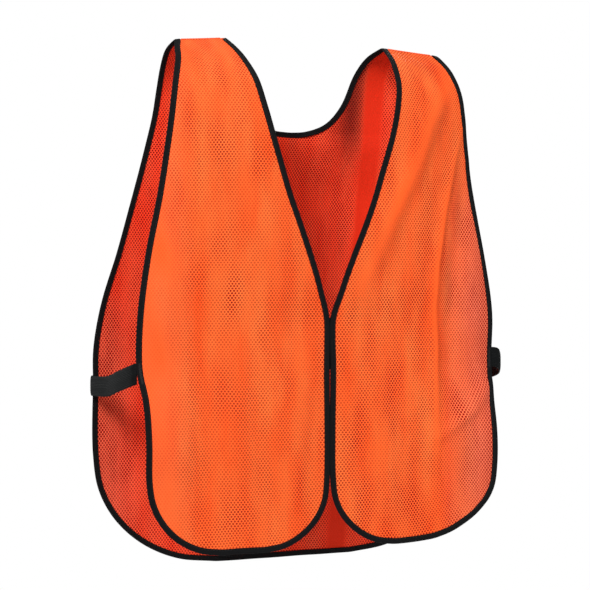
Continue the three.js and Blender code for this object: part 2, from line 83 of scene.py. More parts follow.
def node(tree, kind, inputs=None, **settings):
    """A shader node with its settings, and its inputs linked or set."""
    made = tree.nodes.new(kind)
    for name, value in settings.items():
        setattr(made, name, value)
    for socket, value in (inputs or {}).items():
        if isinstance(value, bpy.types.NodeSocket):
            tree.links.new(value, made.inputs[socket])
        else:
            made.inputs[socket].default_value = value
    return made


room = bpy.data.worlds.new("room")
room.use_nodes = True
room_tree = room.node_tree
seen = node(room_tree, "ShaderNodeLightPath").outputs["Is Camera Ray"]
strength = node(room_tree, "ShaderNodeMix", {0: seen, 2: 0.26, 3: 1.0}).outputs[0]
room_tree.links.new(strength, room_tree.nodes["Background"].inputs["Strength"])
room_tree.nodes["Background"].inputs["Color"].default_value = (1, 1, 1, 1)
bpy.context.scene.world = room


def finished(name, bm, *materials):
    """The bmesh as an object of the scene, with its materials."""
    mesh = bpy.data.meshes.new(name)
    bm.to_mesh(mesh)
    bm.free()
    piece = bpy.data.objects.new(name, mesh)
    bpy.context.collection.objects.link(piece)
    for material in materials:
        mesh.materials.append(material)
    return piece


FLOOR_DROP = 1.42
floor_bm = bmesh.new()
bmesh.ops.create_circle(floor_bm, cap_ends=True, radius=1.8, segments=96)
bmesh.ops.translate(floor_bm, verts=floor_bm.verts, vec=(0, 0, -FLOOR_DROP))
paper = bpy.data.materials.new("pale_paper")
paper.use_nodes = True
speckle = node(paper.node_tree, "ShaderNodeTexNoise",
               {"Vector": node(paper.node_tree, "ShaderNodeTexCoord").outputs["Object"], "Scale": 60.0})
paper_tone = node(paper.node_tree, "ShaderNodeMix",
                  {0: speckle.outputs["Fac"], 6: (0.84, 0.84, 0.84, 1), 7: (0.9, 0.9, 0.9, 1)},
                  data_type="RGBA")
paper.node_tree.links.new(paper_tone.outputs[2],
                          paper.node_tree.nodes["Principled BSDF"].inputs["Base Color"])
floor = finished("floor", floor_bm, paper)


# ---- back panel ----
# One layer of knitted polyester mesh, cut to the outline and hung from the shoulders. It is rounded
# across the body and drapes in long soft folds.
def smooth_edge(points, steps=24):
    """A centripetal Catmull-Rom curve through the points, as closely spaced points."""
    p = np.array(points, float)
    p = np.vstack([2 * p[0] - p[1], p, 2 * p[-1] - p[-2]])
    t = np.linspace(0, 1, steps, endpoint=False)[:, None]
    out = []
    for a, b, c, d in zip(p, p[1:], p[2:], p[3:]):
        ab, bc, cd = (np.linalg.norm(v) ** 0.5 for v in (b - a, c - b, d - c))
        leaving = bc * ((b - a) / ab - (c - a) / (ab + bc) + (c - b) / bc)
        arriving = bc * ((c - b) / bc - (d - b) / (bc + cd) + (d - c) / cd)
        out.append((2 * t ** 3 - 3 * t ** 2 + 1) * b + (t ** 3 - 2 * t ** 2 + t) * leaving
                   + (3 * t ** 2 - 2 * t ** 3) * c + (t ** 3 - t ** 2) * arriving)
    return np.vstack(out + [p[-2][None]])


def along(path, count, start=0.0):
    """Evenly spaced points on a path, from a share of its length to its end."""
    run = np.concatenate([[0], np.cumsum(np.linalg.norm(np.diff(path, axis=0), axis=1))])
    wanted = np.linspace(start * run[-1], run[-1], count)
    return np.column_stack([np.interp(wanted, run, path[:, k]) for k in range(3)])


def level(path, heights):
    """The points of a falling path at the heights."""
    return np.column_stack([np.interp(-heights, -path[:, 2], path[:, k]) for k in (0, 1)] + [heights])


def from_shares(shares, start, end):
    return [[start[k] + (end[k] - start[k]) * s[k] for k in range(3)] for s in shares]


def corner(x, y, top, width, height, hem_y):
    """A quarter of an ellipse from an upright edge round to the hem."""
    turn = np.linspace(0, math.pi / 2, 6)[1:]
    return [[x + width * (1 - math.cos(a)), y + (hem_y - y) * math.sin(a), top - height * math.sin(a)]
            for a in turn]


NECK_HALF_WIDTH = 0.105
SHOULDER_END = (0.172, -0.019, -0.0095)
BACK_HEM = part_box("back_panel")[0][2]
NECK_DEPTH, NECK_DROP = 0.066, 0.106
BACK_SIDE = (0.256, 0.074, -0.428)
neckline = smooth_edge(from_shares(
    [(1, 0, 0), (0.905, 0.48, 0.085), (0.82, 0.76, 0.264), (0.68, 0.91, 0.64), (0.48, 0.97, 0.877),
     (0.22, 1, 0.98), (0, 1, 1)], (0, 0, 0), (NECK_HALF_WIDTH, NECK_DEPTH, -NECK_DROP)))
centre_back = smooth_edge(from_shares(
    [(0, 0, 0), (0, 0.027, 0.03), (0, 0.243, 0.07), (0, 0.757, 0.15), (0, 1, 0.28), (0, 0.905, 0.5),
     (0, 0.703, 0.75), (0, 0.564, 1)], (0, NECK_DEPTH, -NECK_DROP), (0, 0.105, BACK_HEM)))
back_outer = smooth_edge(
    [SHOULDER_END]
    + from_shares([(0.08, 0.22, 0.02), (0.1, 0.46, 0.06), (0.115, 0.66, 0.125), (0.15, 0.78, 0.2),
                   (0.25, 0.88, 0.3), (0.43, 0.95, 0.45), (0.64, 0.975, 0.61), (0.87, 1, 0.76),
                   (0.992, 1, 0.9)], SHOULDER_END, BACK_SIDE)
    + [BACK_SIDE, (0.256, 0.074, BACK_HEM + 0.146)]
    + corner(0.256, 0.074, BACK_HEM + 0.146, -0.162, 0.146, 0.088))


def cloth_rows(inner, outer, columns):
    """Level rows of points between two edges, bowed about the centre plane, with flat coordinates."""
    share = np.linspace(0, 1, columns)[None, :, None]
    p = inner[:, None] * (1 - share) + outer[:, None] * share
    bow = (outer[:, 1] - inner[:, 1]) / (outer[:, 0] ** 2 - inner[:, 0] ** 2)
    bow = bow[:, None]
    p[..., 1] = inner[:, None, 1] + bow * (p[..., 0] ** 2 - inner[:, None, 0] ** 2)
    away = np.stack([-2 * bow * p[..., 0], np.ones(p.shape[:2]), np.zeros(p.shape[:2])], axis=2)
    away /= np.linalg.norm(away, axis=2)[..., None]
    middle = p[:, columns // 2, 1:]
    fall = np.concatenate([[0], np.cumsum(np.hypot(*np.diff(middle, axis=0).T))])
    wide = p[..., 0] * (1 + (2 * bow * p[..., 0]) ** 2 / 6)
    return p, away, np.stack([wide, np.broadcast_to(-fall[:, None], wide.shape)], axis=2)


def fold(x, z, line, width, height):
    """A soft ridge along a line of (x, z) points, from the top down, that fades at both ends."""
    top, foot = line[0][1], line[-1][1]
    centre = np.interp(-z, [-q[1] for q in line], [q[0] for q in line])
    share = np.clip((top - z) / (top - foot), 0, 1)
    return height * np.exp(-((x - centre) / width) ** 2) * np.sin(np.pi * share) ** 0.7


def ripple(x, z, seed, size, height):
    """Small irregular waves, longer down the cloth than across it."""
    flat = np.array([noise.noise(Vector((a / size, b / (2.4 * size), seed)))
                     for a, b in zip(x.ravel(), z.ravel())])
    return height * flat.reshape(x.shape)


def sheet_mesh(name, grids, thickness, materials):
    """A cloth object from grids of points, each with its flat coordinates and any marks on it."""
    bm = bmesh.new()
    layer = bm.loops.layers.uv.new("cloth")
    marked = grids[0][2] if len(grids[0]) > 2 else {}
    marks_on = {key: bm.verts.layers.float.new(key) for key in marked}
    for points, flat, *marks in grids:
        rows, columns = points.shape[:2]
        part = bmesh.ops.create_grid(bm, x_segments=columns - 1, y_segments=rows - 1, size=0.5)["verts"]
        place = {v: (round((0.5 - v.co.y) * (rows - 1)), round((v.co.x + 0.5) * (columns - 1)))
                 for v in part}
        for face in {f for v in part for f in v.link_faces}:
            for loop in face.loops:
                loop[layer].uv = flat[place[loop.vert]]
            face.smooth = True
        for v, at in place.items():
            v.co = points[at]
            for key, mark in marks_on.items():
                v[mark] = marks[0][key][at]
    bmesh.ops.remove_doubles(bm, verts=bm.verts, dist=2e-5)
    bmesh.ops.recalc_face_normals(bm, faces=bm.faces)
    facing = sum(f.normal.dot(f.calc_center_median() - Vector((0, 0, f.calc_center_median().z)))
                 * f.calc_area() for f in bm.faces)
    if facing < 0:
        bmesh.ops.reverse_faces(bm, faces=bm.faces)
    piece = finished(name, bm, *materials)
    if thickness:
        walls = piece.modifiers.new("thickness", "SOLIDIFY")
        walls.thickness, walls.offset, walls.material_offset = thickness, 0, len(materials) - 1
    return piece


def knit_group():
    """Staggered holes between knitted yarns: masks and heights from flat coordinates in metres."""
    tree = bpy.data.node_groups.new("knitted_mesh", "ShaderNodeTree")
    face = tree.interface
    face.new_socket("Flat", in_out="INPUT", socket_type="NodeSocketVector")
    face.new_socket("Hole radius", in_out="INPUT", socket_type="NodeSocketFloat").default_value = 0.001
    for name in ("Holes", "Relief", "Shade", "Contrast"):
        face.new_socket(name, in_out="OUTPUT", socket_type="NodeSocketFloat")
    given = tree.nodes.new("NodeGroupInput")
    result = tree.nodes.new("NodeGroupOutput")
    pitch = (0.0039, 0.0055, 1.0)
    wobble = node(tree, "ShaderNodeTexNoise", {"Vector": given.outputs["Flat"], "Scale": 90.0})
    drift = node(tree, "ShaderNodeVectorMath", {0: wobble.outputs["Color"], 1: (0.5, 0.5, 0.5)},
                 operation="SUBTRACT")
    drift = node(tree, "ShaderNodeVectorMath", {0: drift.outputs[0], "Scale": 0.0012}, operation="SCALE")
    moved = node(tree, "ShaderNodeVectorMath", {0: given.outputs["Flat"], 1: drift.outputs[0]},
                 operation="ADD")
    cells = node(tree, "ShaderNodeVectorMath", {0: moved.outputs[0], 1: pitch}, operation="DIVIDE")
    nearest = []
    for shift in (0.0, 0.5):
        offset = node(tree, "ShaderNodeVectorMath", {0: cells.outputs[0], 1: (shift, shift, 0)},
                      operation="ADD")
        within = node(tree, "ShaderNodeVectorMath", {0: offset.outputs[0]}, operation="FRACTION")
        centred = node(tree, "ShaderNodeVectorMath", {0: within.outputs[0], 1: (0.5, 0.5, 0)},
                       operation="SUBTRACT")
        flat = node(tree, "ShaderNodeVectorMath", {0: centred.outputs[0], 1: (pitch[0], pitch[1], 0)},
                    operation="MULTIPLY")
        nearest.append(node(tree, "ShaderNodeVectorMath", {0: flat.outputs[0]},
                            operation="LENGTH").outputs["Value"])
    distance = node(tree, "ShaderNodeMath", {0: nearest[0], 1: nearest[1]}, operation="MINIMUM")
    share = node(tree, "ShaderNodeMath", {0: distance.outputs[0], 1: given.outputs["Hole radius"]},
                 operation="DIVIDE")
    holes = node(tree, "ShaderNodeMapRange", {0: share.outputs[0], 1: 0.7, 2: 1.25, 3: 1.0, 4: 0.0},
                 interpolation_type="SMOOTHSTEP")
    yarn = node(tree, "ShaderNodeTexWave", {"Vector": cells.outputs[0], "Scale": 2.4, "Distortion": 1.5,
                                            "Detail Scale": 3.0}, bands_direction="DIAGONAL")
    relief = node(tree, "ShaderNodeMapRange", {0: share.outputs[0], 1: 0.6, 2: 1.9})
    relief = node(tree, "ShaderNodeMath", {0: yarn.outputs["Fac"], 1: 0.22, 2: relief.outputs[0]},
                  operation="MULTIPLY_ADD")
    long_wise = node(tree, "ShaderNodeVectorMath", {0: given.outputs["Flat"], 1: (30, 7, 1)},
                     operation="MULTIPLY")
    shade = node(tree, "ShaderNodeTexNoise", {"Vector": long_wise.outputs[0], "Scale": 1.0,
                                              "Detail": 5.0})
    shade = node(tree, "ShaderNodeMapRange", {0: shade.outputs["Fac"], 1: 0.32, 2: 0.68})
    stretched = node(tree, "ShaderNodeVectorMath", {0: given.outputs["Flat"], 1: (44, 14, 1)},
                     operation="MULTIPLY")
    patches = node(tree, "ShaderNodeTexNoise", {"Vector": stretched.outputs[0], "Scale": 1.0,
                                                "Detail": 2.0})
    patches = node(tree, "ShaderNodeMapRange", {0: patches.outputs["Fac"], 1: 0.36, 2: 0.62})
    tree.links.new(holes.outputs[0], result.inputs["Holes"])
    tree.links.new(relief.outputs[0], result.inputs["Relief"])
    tree.links.new(shade.outputs[0], result.inputs["Shade"])
    tree.links.new(patches.outputs[0], result.inputs["Contrast"])
    return tree


KNIT = knit_group()


def mesh_material(name, yarns, hole_shade_colour, plain, painted_shade_colour=None):
    """Orange knitted mesh in three yarn tones, the third a pale painted highlight. Its holes are painted
    a dark colour, a painted shade for what is seen through them, less where the knit is closed.

    The marks on the cloth say where the holes are drawn shut, where the knit is stretched and its
    yarns carry the pale painted highlight, and where a painted deep shadow darkens it.
    """
    made = bpy.data.materials.new(name)
    made.use_nodes = True
    tree = made.node_tree
    shader = tree.nodes["Principled BSDF"]
    flat = node(tree, "ShaderNodeUVMap", uv_map="cloth").outputs[0]
    knit = node(tree, "ShaderNodeGroup", node_tree=KNIT)
    tree.links.new(flat, knit.inputs["Flat"])
    closed, stretched_and_highlit, painted_shade = (node(tree, "ShaderNodeAttribute", attribute_name=key).outputs["Fac"]
                               for key in ("closed", "stretched_and_highlit", "painted_shade"))
    radius = node(tree, "ShaderNodeMapRange", {0: stretched_and_highlit, 3: 0.00128, 4: 0.00152})
    tree.links.new(radius.outputs[0], knit.inputs["Hole radius"])
    tone = node(tree, "ShaderNodeMix", {0: knit.outputs["Shade"], 6: yarns[0], 7: yarns[1]},
                data_type="RGBA")
    # Where the knit is stretched, its yarns turn to the pale third tone: a painted highlight.
    tone = node(tree, "ShaderNodeMix", {0: stretched_and_highlit, 6: tone.outputs[2], 7: yarns[2]}, data_type="RGBA")
    tone = node(tree, "ShaderNodeMix", {0: closed, 6: tone.outputs[2], 7: plain}, data_type="RGBA")
    clear = node(tree, "ShaderNodeMapRange", {0: knit.outputs["Contrast"], 3: 0.7, 4: 1.0})
    held_open = node(tree, "ShaderNodeMath", {0: 1.0, 1: closed}, operation="SUBTRACT")
    depth = node(tree, "ShaderNodeMath", {0: clear.outputs[0], 1: held_open.outputs[0]},
                 operation="MULTIPLY")
    stretched_open = node(tree, "ShaderNodeMath", {0: stretched_and_highlit, 1: 0.92}, operation="MULTIPLY")
    depth = node(tree, "ShaderNodeMath", {0: depth.outputs[0], 1: stretched_open.outputs[0]},
                 operation="MAXIMUM")
    dark = node(tree, "ShaderNodeMath", {0: knit.outputs["Holes"], 1: depth.outputs[0]},
                operation="MULTIPLY")
    # The holes take the hole colour: a painted shade standing in for the dark seen through them.
    colour = node(tree, "ShaderNodeMix", {0: dark.outputs[0], 6: tone.outputs[2], 7: hole_shade_colour},
                  data_type="RGBA")
    # Painted shadow: where the mark calls for it, the colour turns to a painted deep shadow colour.
    if painted_shade_colour:
        colour = node(tree, "ShaderNodeMix", {0: painted_shade, 6: colour.outputs[2], 7: painted_shade_colour},
                      data_type="RGBA")
    tree.links.new(colour.outputs[2], shader.inputs["Base Color"])
    rough = node(tree, "ShaderNodeMapRange", {0: knit.outputs["Holes"], 3: 0.62, 4: 0.95})
    tree.links.new(rough.outputs[0], shader.inputs["Roughness"])
    bump = node(tree, "ShaderNodeBump", {"Height": knit.outputs["Relief"], "Strength": 0.5,
                                         "Distance": 0.0004})
    tree.links.new(bump.outputs[0], shader.inputs["Normal"])
    shader.inputs["Specular IOR Level"].default_value = 0.12
    return made


orange = mesh_material("orange_mesh", [(1.0, 0.100, 0.014, 1), (1.0, 0.185, 0.040, 1),
                                       (1.0, 0.21, 0.11, 1)],
                       (0.22, 0.002, 0.002, 1), (0.88, 0.105, 0.016, 1))
# The inner face: a darker, redder copy of the mesh, painted shade for the inside of the vest. Its last
# colour is the painted deep shadow.
orange_shaded_inside = mesh_material("orange_mesh_shaded_inside", [(1.0, 0.050, 0.014, 1), (1.0, 0.105, 0.040, 1),
                                                     (1.0, 0.16, 0.08, 1)],
                              (0.20, 0.001, 0.001, 1), (0.66, 0.026, 0.006, 1),
                              (0.06, 0.001, 0.001, 1))

CLOTH = 0.0005
BACK_COLUMNS, NECK_ROWS, BACK_ROWS = 64, 30, 170
neck_run = along(neckline, NECK_ROWS)
side_run = along(back_outer, 2400)
side_run = along(side_run[side_run[:, 2] < -NECK_DROP], BACK_ROWS)[1:]
back_inner = np.vstack([neck_run, level(centre_back, side_run[:, 2])])
neck_level = np.interp(neck_run[:, 2], [-NECK_DROP, 0], [-NECK_DROP, SHOULDER_END[2]])
back_edge = np.vstack([level(back_outer, neck_level), side_run])
PLAIN_BAND_HALF_WIDTH = 0.0130
BACK_FOLDS = [
    ([(0.10, -0.12), (0.085, -0.35), (0.075, -0.62)], 0.030, 0.0045),
    ([(-0.02, -0.16), (-0.03, -0.40), (-0.06, -0.65)], 0.035, 0.004),
    ([(-0.14, -0.20), (-0.16, -0.45), (-0.20, -0.62)], 0.022, -0.005),
    ([(0.17, -0.30), (0.19, -0.48), (0.16, -0.64)], 0.026, 0.005),
    ([(-0.225, -0.34), (-0.19, -0.43), (-0.15, -0.52)], 0.014, 0.004),
]


def back_half(sign):
    p, away, flat = cloth_rows(back_inner, back_edge, BACK_COLUMNS)
    p[..., 0] *= sign
    away[..., 0] *= sign
    flat[..., 0] *= sign
    x, z = p[..., 0], p[..., 2]
    lift = sum(fold(x, z, *f) for f in BACK_FOLDS) + ripple(x, z, 3.0, 0.045, 0.0022)
    lift *= np.clip((-z - 0.02) / 0.08, 0, 1)
    # A plain unperforated band runs down each side of the middle.
    band = np.interp(-z, [0.03, 0.23, 0.66], [0.1145, 0.1165, 0.073])
    closed = 1 / (1 + np.exp((np.abs(np.abs(x) - band) - PLAIN_BAND_HALF_WIDTH) / 0.0009))
    # A painted shadow on the inside beside the neckline at each shoulder, kept off the plain band.
    painted_shade = 0.8 * np.exp(-((np.abs(x) - 0.084) / 0.022) ** 2) / (1 + np.exp(-(z + 0.125) / 0.014))
    # Towards the lower sides the knit is stretched open, and its yarns carry a pale painted highlight.
    stretched_and_highlit = np.clip((np.abs(x) - 0.19) / 0.04, 0, 1) * np.clip((-z - 0.30) / 0.1, 0, 1)
    return p + away * lift[..., None], flat, {"closed": closed, "stretched_and_highlit": 0.8 * stretched_and_highlit,
                                              "painted_shade": painted_shade * (1 - closed)}


back_left, back_right = back_half(1), back_half(-1)
back = sheet_mesh("back_cloth", [back_left, back_right], CLOTH, [orange, orange_shaded_inside])
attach(back, "root")
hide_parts("back_panel")

# ---- front panels ----
# Two pieces of the same mesh, each from the shoulder seam down to a rounded hem, open down the
# middle.
FRONT_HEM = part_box("front_panel_left")[0][2]
CENTRE_X, CENTRE_Y = 0.0039, -0.0915
V_FOOT, CHEST_Y = -0.346, -0.104
front_inner = smooth_edge(
    from_shares([(1, 0, 0), (0.945, 0.37, 0.06), (0.9, 0.6, 0.11), (0.835, 0.86, 0.19),
                 (0.775, 0.95, 0.27), (0.7, 0.99, 0.356), (0.59, 1, 0.466), (0.48, 1, 0.572),
                 (0.34, 0.995, 0.683), (0.2, 0.97, 0.793), (0.075, 0.93, 0.903)],
                (CENTRE_X, 0, 0), (NECK_HALF_WIDTH, CHEST_Y, V_FOOT))
    + [(CENTRE_X, CENTRE_Y, V_FOOT), (CENTRE_X, CENTRE_Y, V_FOOT - 0.062),
       (CENTRE_X, CENTRE_Y, FRONT_HEM + 0.077)]
    + corner(CENTRE_X, CENTRE_Y, FRONT_HEM + 0.077, 0.077, 0.077, -0.096))
FRONT_SIDE = (0.228, -0.066, V_FOOT)
front_outer = smooth_edge(
    [SHOULDER_END]
    + from_shares([(0.07, 0.28, 0.03), (0.13, 0.72, 0.085), (0.235, 1, 0.168), (0.3, 1.045, 0.251),
                   (0.36, 1.015, 0.337), (0.56, 0.985, 0.56), (0.82, 0.985, 0.785), (0.99, 1, 1)],
                  SHOULDER_END, FRONT_SIDE)
    + from_shares([(0, -0.08, 0), (0.83, 0.5, 0.3), (1, 1, 0.68), (1, 1, 1)],
                  (0.228, -0.066, -0.405), (0.222, -0.091, FRONT_HEM + 0.087))
    + corner(0.222, -0.091, FRONT_HEM + 0.087, -0.087, 0.087, -0.096))
FRONT_COLUMNS, FRONT_ROWS = 64, 190
outer_run = along(front_outer, FRONT_ROWS)
inner_level = np.interp(outer_run[:, 2], [FRONT_HEM, -0.094, SHOULDER_END[2]], [FRONT_HEM, -0.094, 0])
inner_run = level(front_inner, inner_level)
TAUT_BAND = [(0.172, -0.03), (0.164, -0.052), (0.131, -0.106), (0.100, -0.178), (0.074, -0.228),
             (0.056, -0.271), (0.018, -0.345)]
RIDGE = [(0.188, -0.10), (0.171, -0.149), (0.154, -0.214), (0.1414, -0.282), (0.1395, -0.332),
         (0.143, -0.387), (0.138, -0.56)]
FRONT_FOLDS = {
    "left": [
        (TAUT_BAND, 0.016, 0.007),
        (RIDGE, 0.0050, 0.0045),
        ([(0.195, -0.15), (0.170, -0.30), (0.163, -0.52)], 0.014, -0.005),
        ([(0.2195, -0.425), (0.1874, -0.466), (0.140, -0.50)], 0.012, 0.0055),
        ([(0.060, -0.40), (0.070, -0.50), (0.075, -0.60)], 0.016, 0.004),
    ],
    "right": [
        ([(-0.110, -0.07), (-0.075, -0.30), (-0.060, -0.58)], 0.020, 0.007),
        ([(-0.160, -0.10), (-0.150, -0.35), (-0.145, -0.60)], 0.018, -0.006),
        ([(-0.200, -0.30), (-0.185, -0.45), (-0.175, -0.60)], 0.014, 0.006),
        ([(-0.120, -0.28), (-0.110, -0.45), (-0.105, -0.61)], 0.014, 0.005),
        ([(-0.030, -0.36), (-0.040, -0.48), (-0.045, -0.58)], 0.013, 0.005),
    ],
}
CENTRE_DRAWN_IN = 0.0023
CORNER_RISE = 0.010


def front_half(name, sign):
    p, away, flat = cloth_rows(inner_run, outer_run, FRONT_COLUMNS)
    p[..., 0] *= sign
    away[..., 0] *= sign
    flat[..., 0] *= sign
    x, z = p[..., 0], p[..., 2]
    lift = sum(fold(x, z, *f) for f in FRONT_FOLDS[name]) + ripple(x, z, 7.0 + sign, 0.035, 0.0018)
    edge = np.clip(np.abs(x) / 0.03, 0, 1)
    lift *= np.clip((-z - 0.02) / 0.08, 0, 1) * edge
    # The edges that the closure fastens lie close together, up to the foot of the V.
    p[..., 0] -= sign * CENTRE_DRAWN_IN * np.exp(-((np.abs(x) - 0.004) / 0.022) ** 2) * np.clip(
        (-z - 0.315) / 0.03, 0, 1)
    if name == "left":  # its outer hem corner has drawn up a little
        p[..., 2] += (CORNER_RISE * np.exp(-((x - 0.185) / 0.05) ** 2)
                      * np.clip((-z - 0.50) / 0.09, 0, 1) ** 2)
    # Where the cloth is pulled taut the knit closes: over much of the right front, and along the
    # folds of the left one. Out towards the left side it is stretched open, and its yarns carry a
    # pale painted highlight.
    if name == "right":
        closed = 0.22 + 0.5 * np.clip((-x - 0.17) / 0.03, 0, 1)
        stretched_and_highlit = 0.25 * np.clip((-x - 0.16) / 0.04, 0, 1)
    else:
        closed = 0.12 + 0.8 * fold(x, z, TAUT_BAND, 0.012, 1.0) + fold(x, z, RIDGE, 0.0035, 0.9)
        ridge_x = np.interp(-z, [-q[1] for q in RIDGE], [q[0] for q in RIDGE])
        stretched_and_highlit = np.clip((x - ridge_x - 0.004) / 0.07, 0, 1) * np.clip((-z - 0.09) / 0.08, 0, 1)
    closed = np.clip(closed + ripple(x, z, 11.0 + sign, 0.025, 0.35), 0, 1)
    return p - away * lift[..., None], flat, {"closed": closed, "stretched_and_highlit": stretched_and_highlit,
                                              "painted_shade": np.zeros(x.shape)}


front_grids = {}
fronts = {}
for name, sign in (("right", -1), ("left", 1)):
    front_grids[name] = front_half(name, sign)
    fronts[name] = sheet_mesh(f"front_cloth_{name}", [front_grids[name]], CLOTH,
                              [orange, orange_shaded_inside])
    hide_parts(f"front_panel_{name}", f"shoulder_panel_{name}")


def swing_with_front(piece):
    """Bakes the cloth's placement into its mesh."""
    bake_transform(piece)


for name in fronts:
    swing_with_front(fronts[name])

# ---- edge binding ----
# One black ribbed tape, folded over the cut edge and sewn through with a single row of stitches. It
# runs round the whole vest in one closed loop and is about 7 mm wide once folded.
def unit(vectors):
    return vectors / np.maximum(np.linalg.norm(vectors, axis=-1), 1e-9)[..., None]


def rim(grid, side):
    """One edge of a cloth grid with the direction into the cloth: inner, outer or hem."""
    p = grid[0]
    if side == "hem":
        return p[-1], unit(p[-2] - p[-1])
    at, near = (0, 1) if side == "inner" else (-1, -2)
    up = np.vstack([p[:1, at] - p[1:2, at], p[:-1, at] - p[1:, at]])
    return p[:, at], unit(p[:, near] - p[:, at]) + unit(up)


def chain(*parts):
    """Joins runs of edge points end to end, each with its direction into the cloth."""
    points = np.vstack([part[0][:-1] for part in parts])
    into = np.vstack([part[1][:-1] for part in parts])
    return points, into


def backwards(run):
    return run[0][::-1], run[1][::-1]


neck_end = NECK_ROWS - 1
right, left = front_grids["right"], front_grids["left"]
back_parts = {"right": back_right, "left": back_left}


def neck_part(name):
    """The back neckline's edge, where the cloth lies outwards and below."""
    p = back_parts[name][0]
    edge = p[:neck_end + 1, 0]
    return edge, unit(p[:neck_end + 1, 1] - edge) + unit(p[4:neck_end + 5, 1] - edge)


loop_parts = [
    rim(right, "outer"), backwards(rim(right, "hem")), backwards(rim(right, "inner")),
    neck_part("right"), backwards(neck_part("left")),
    rim(left, "inner"), rim(left, "hem"), backwards(rim(left, "outer")),
    rim(back_left, "outer"), backwards(rim(back_left, "hem")), rim(back_right, "hem"),
    backwards(rim(back_right, "outer")),
]
loop_points, loop_into = chain(*loop_parts)
ends = np.cumsum([0] + [len(part[0]) - 1 for part in loop_parts])
joints_at = loop_points[ends[[0, 3, 5, 8]]]


def evenly(points, into, spacing):
    """The closed loop again, evenly spaced, with its directions into the cloth."""
    closed = np.vstack([points, points[:1]])
    lengths = np.linalg.norm(np.diff(closed, axis=0), axis=1)
    keep = np.concatenate([lengths > 1e-6, [True]])
    closed, way = closed[keep], np.vstack([into, into[:1]])[keep]
    way = unit(way)
    run = np.concatenate([[0], np.cumsum(np.linalg.norm(np.diff(closed, axis=0), axis=1))])
    count = round(run[-1] / spacing)
    wanted = np.linspace(0, run[-1], count, endpoint=False)

    def picked(values):
        return np.column_stack([np.interp(wanted, run, values[:, k]) for k in range(3)])

    return picked(closed), picked(way)


def smoothed(values, reach):
    """Each value averaged with its neighbours round the loop."""
    kernel = np.hanning(2 * reach + 3)[1:-1]
    kernel /= kernel.sum()
    padded = np.concatenate([values[-reach:], values, values[:reach]])
    return np.column_stack([np.convolve(padded[:, k], kernel, "valid") for k in range(3)])


TAPE_STEP = 0.003
tape_at, tape_into = evenly(loop_points, loop_into, TAPE_STEP)
tape_at = smoothed(tape_at, 2)
tape_way = unit(np.roll(tape_at, -1, axis=0) - np.roll(tape_at, 1, axis=0))
tape_out = unit(smoothed(unit(np.cross(tape_way, tape_into)), 5))
tape_out -= tape_way * np.sum(tape_out * tape_way, axis=1)[:, None]
tape_out = unit(tape_out)
tape_in = np.cross(tape_out, tape_way)
tape_in *= np.sign(np.sum(tape_in * tape_into, axis=1))[:, None]
cuts = [int(np.argmin(np.linalg.norm(tape_at - q, axis=1))) for q in joints_at]


def ribbed_group():
    """Fine ribs along a tape and finer ones across it, from flat coordinates in metres."""
    tree = bpy.data.node_groups.new("ribbed_tape", "ShaderNodeTree")
    face = tree.interface
    face.new_socket("Flat", in_out="INPUT", socket_type="NodeSocketVector")
    for name, value in (("Rib width", 0.0011), ("Cross width", 0.0007)):
        face.new_socket(name, in_out="INPUT", socket_type="NodeSocketFloat").default_value = value
    for name in ("Relief", "Shade"):
        face.new_socket(name, in_out="OUTPUT", socket_type="NodeSocketFloat")
    given = tree.nodes.new("NodeGroupInput")
    result = tree.nodes.new("NodeGroupOutput")
    parts = node(tree, "ShaderNodeSeparateXYZ", {0: given.outputs["Flat"]})
    waves = []
    for axis, width in (("X", "Rib width"), ("Y", "Cross width")):
        turns = node(tree, "ShaderNodeMath", {0: parts.outputs[axis], 1: given.outputs[width]},
                     operation="DIVIDE")
        angle = node(tree, "ShaderNodeMath", {0: turns.outputs[0], 1: math.tau}, operation="MULTIPLY")
        wave = node(tree, "ShaderNodeMath", {0: angle.outputs[0]}, operation="SINE")
        waves.append(node(tree, "ShaderNodeMath", {0: wave.outputs[0], 1: 0.5, 2: 0.5},
                          operation="MULTIPLY_ADD"))
    both = node(tree, "ShaderNodeMath", {0: waves[1].outputs[0], 1: 0.45, 2: waves[0].outputs[0]},
                operation="MULTIPLY_ADD")
    lint = node(tree, "ShaderNodeTexNoise", {"Vector": given.outputs["Flat"], "Scale": 500.0,
                                             "Detail": 3.0})
    relief = node(tree, "ShaderNodeMath", {0: lint.outputs["Fac"], 1: 0.5, 2: both.outputs[0]},
                  operation="MULTIPLY_ADD")
    shade = node(tree, "ShaderNodeMapRange", {0: relief.outputs[0], 1: 0.3, 2: 1.8})
    tree.links.new(relief.outputs[0], result.inputs["Relief"])
    tree.links.new(shade.outputs[0], result.inputs["Shade"])
    return tree


RIBBED = ribbed_group()


